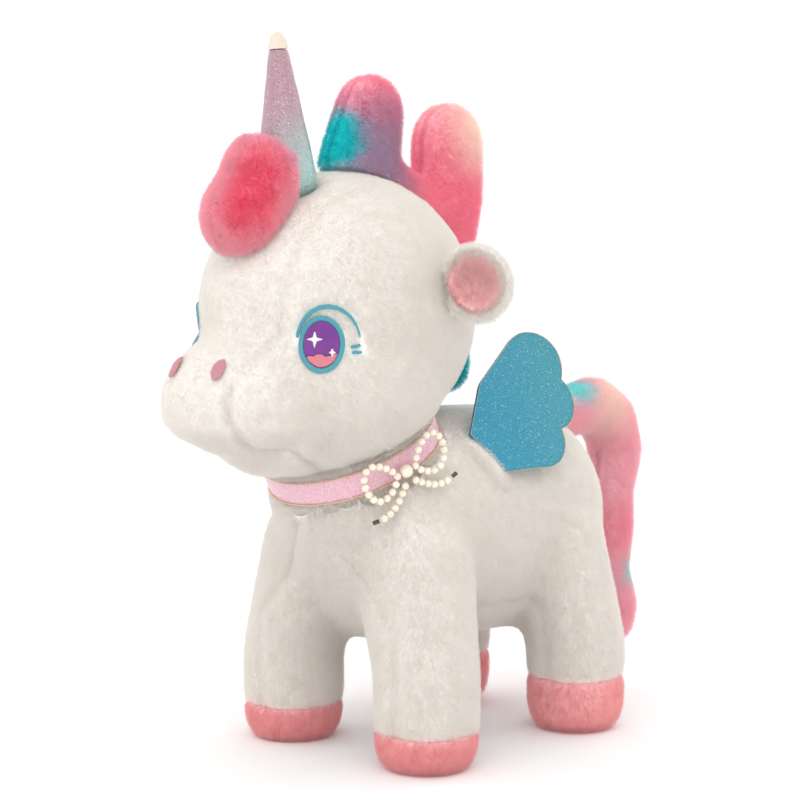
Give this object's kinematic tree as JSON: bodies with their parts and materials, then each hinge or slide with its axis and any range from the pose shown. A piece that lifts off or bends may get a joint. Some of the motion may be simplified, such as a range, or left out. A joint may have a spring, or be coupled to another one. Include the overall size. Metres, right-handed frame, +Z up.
{
  "type": "plush unicorn",
  "caption": "Stuffed plush unicorn standing on four legs, with a nodding and turning head, soft ears, horn, mane, flat wings, tail and a beaded ribbon collar.",
  "frame": {"origin": "on the floor, under the middle of the overall length and width", "axes": "+X to the animal's left, -Y to its front, +Z up"},
  "size_m": [0.1702, 0.2946, 0.3098],
  "materials": {
    "cream_plush": "short brushed pile",
    "hoof_plush": "short brushed pile",
    "ear_plush": "short brushed pile",
    "mane_plush": "tie-dyed brushed pile",
    "forelock_plush": "tie-dyed brushed pile",
    "tail_plush": "tie-dyed brushed pile",
    "stuffing": "polyester fibre",
    "horn_glitter": "iridescent glitter cloth",
    "horn_cap": "cloth",
    "wing_glitter": "glitter sheet",
    "wing_felt": "felt",
    "ribbon": "satin",
    "ribbon_edge": "metallic thread",
    "thread_teal": "embroidery thread",
    "thread_purple": "embroidery thread",
    "thread_pink": "embroidery thread",
    "thread_white": "embroidery thread",
    "pearl": "pearl coat",
    "crimp_metal": "darkened",
    "nylon_line": "clear line"
  },
  "bodies": {
    "body": {"body_left_panel": "cream_plush", "body_right_panel": "cream_plush", "belly_panel": "cream_plush", "body_stuffing": "stuffing", "hoof_front_left": "hoof_plush", "hoof_front_right": "hoof_plush", "hoof_hind_left": "hoof_plush", "hoof_hind_right": "hoof_plush"},
    "neck": {"neck_stuffing": "stuffing", "collar_ribbon": "ribbon", "collar_edging": "ribbon_edge", "bow_beads": "pearl", "bow_thread": "nylon_line", "bow_crimps": "crimp_metal"},
    "head": {"head_left_panel": "cream_plush", "head_right_panel": "cream_plush", "head_gusset": "cream_plush", "chin_panel": "cream_plush", "head_stuffing": "stuffing", "eye_outline_left": "thread_teal", "eye_outline_right": "thread_teal", "eye_iris_left": "thread_purple", "eye_iris_right": "thread_purple", "eye_shine_left": "thread_pink", "eye_shine_right": "thread_pink", "eye_stars_left": "thread_white", "eye_stars_right": "thread_white", "eye_brow_left": "thread_teal", "eye_brow_right": "thread_teal", "nostril_left": "thread_pink", "nostril_right": "thread_pink", "mane_left_panel": "mane_plush", "mane_right_panel": "mane_plush", "mane_stuffing": "stuffing"},
    "ear_left": {"ear_shell_left": "cream_plush", "ear_lining_left": "ear_plush"},
    "ear_right": {"ear_shell_right": "cream_plush", "ear_lining_right": "ear_plush"},
    "horn": {"horn_cover": "horn_glitter", "horn_stuffing": "stuffing", "horn_tip": "horn_cap"},
    "forelock": {"forelock_left_panel": "forelock_plush", "forelock_right_panel": "forelock_plush", "forelock_stuffing": "stuffing"},
    "wing_left": {"wing_sheet_left": "wing_glitter", "wing_felt_left": "wing_felt"},
    "wing_right": {"wing_sheet_right": "wing_glitter", "wing_felt_right": "wing_felt"},
    "tail": {"tail_left_panel": "tail_plush", "tail_right_panel": "tail_plush", "tail_stuffing": "stuffing"}
  },
  "joints": [
    {"name": "neck_turn", "type": "hinge", "parent": "body", "child": "neck", "pos_m": [0, -0.0535, 0.134], "axis": [0, -0.4305, 0.9026], "range_deg": [-12, 12], "stiffness_Nm_per_rad": 1.5},
    {"name": "head_nod", "type": "hinge", "parent": "neck", "child": "head", "pos_m": [0, -0.0535, 0.134], "axis": [1, 0, 0], "range_deg": [-3, 5], "stiffness_Nm_per_rad": 2},
    {"name": "ear_flop_left", "type": "hinge", "parent": "head", "child": "ear_left", "pos_m": [0.0546, -0.052, 0.207], "axis": [0.036, -0.1344, 0.9903], "range_deg": [-15, 15], "stiffness_Nm_per_rad": 0.03},
    {"name": "ear_flop_right", "type": "hinge", "parent": "head", "child": "ear_right", "pos_m": [-0.0546, -0.052, 0.207], "axis": [0.036, 0.1344, -0.9903], "range_deg": [-15, 15], "stiffness_Nm_per_rad": 0.03},
    {"name": "horn_lean", "type": "hinge", "parent": "head", "child": "horn", "pos_m": [0, -0.0905, 0.25], "axis": [1, 0, 0], "range_deg": [-5, 5], "stiffness_Nm_per_rad": 0.3},
    {"name": "forelock_lift", "type": "hinge", "parent": "head", "child": "forelock", "pos_m": [0, -0.098, 0.243], "axis": [-1, 0, 0], "range_deg": [0, 6], "stiffness_Nm_per_rad": 0.1},
    {"name": "wing_flap_left", "type": "hinge", "parent": "body", "child": "wing_left", "pos_m": [0.0397, -0.00733, 0.1322], "axis": [0.3918, 0.5659, -0.7255], "range_deg": [-3, 45], "stiffness_Nm_per_rad": 0.05},
    {"name": "wing_flap_right", "type": "hinge", "parent": "body", "child": "wing_right", "pos_m": [-0.0397, -0.00733, 0.1322], "axis": [0.3918, -0.5659, 0.7255], "range_deg": [-3, 45], "stiffness_Nm_per_rad": 0.05},
    {"name": "tail_swing", "type": "hinge", "parent": "body", "child": "tail", "pos_m": [0, 0.07471, 0.133], "axis": [0, 0, 1], "range_deg": [-18, 18], "stiffness_Nm_per_rad": 0.05}
  ]
}
